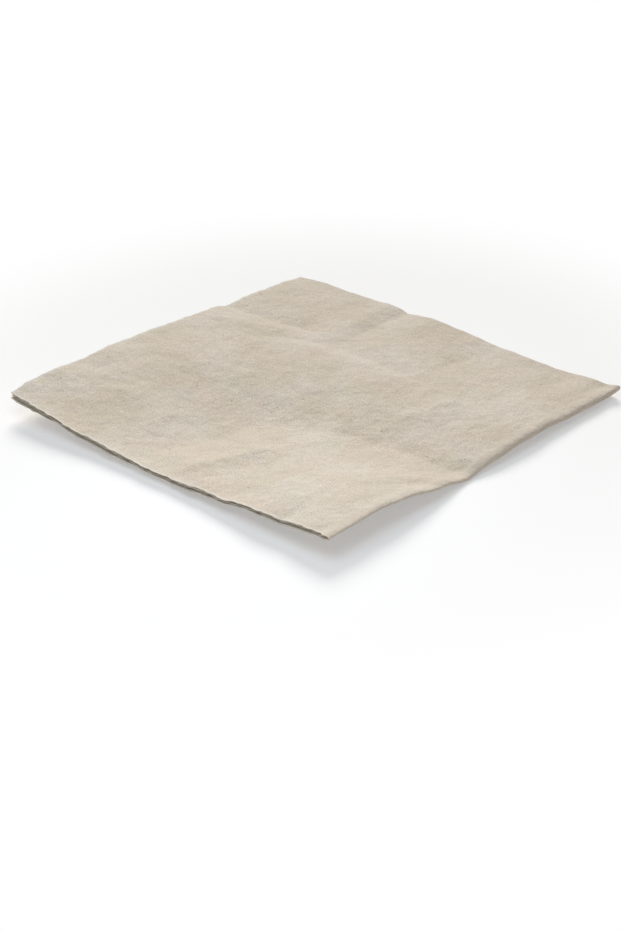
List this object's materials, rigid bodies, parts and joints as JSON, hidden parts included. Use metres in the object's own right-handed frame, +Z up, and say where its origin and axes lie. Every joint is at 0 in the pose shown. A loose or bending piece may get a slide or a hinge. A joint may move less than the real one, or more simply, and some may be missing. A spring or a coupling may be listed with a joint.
{
  "type": "paper napkin",
  "caption": "Square paper napkin of thin unbleached tissue folded in quarters, with soft rounded folds on two neighbouring sides, open cut edges on the others and a gently waved face.",
  "frame": {"origin": "on the surface that the napkin rests on, under the middle of the folded square", "axes": "+Z up from that surface; +X towards the second fold, which holds all the leaves; +Y towards the first fold; the cut edges are at -X and -Y"},
  "size_m": [0.165, 0.16, 0.0096],
  "materials": {
    "kraft_tissue": "matte unbleached two-ply tissue with fine creping and sparse brown fibre specks"
  },
  "bodies": {
    "root": {"napkin": "kraft_tissue"}
  },
  "joints": []
}
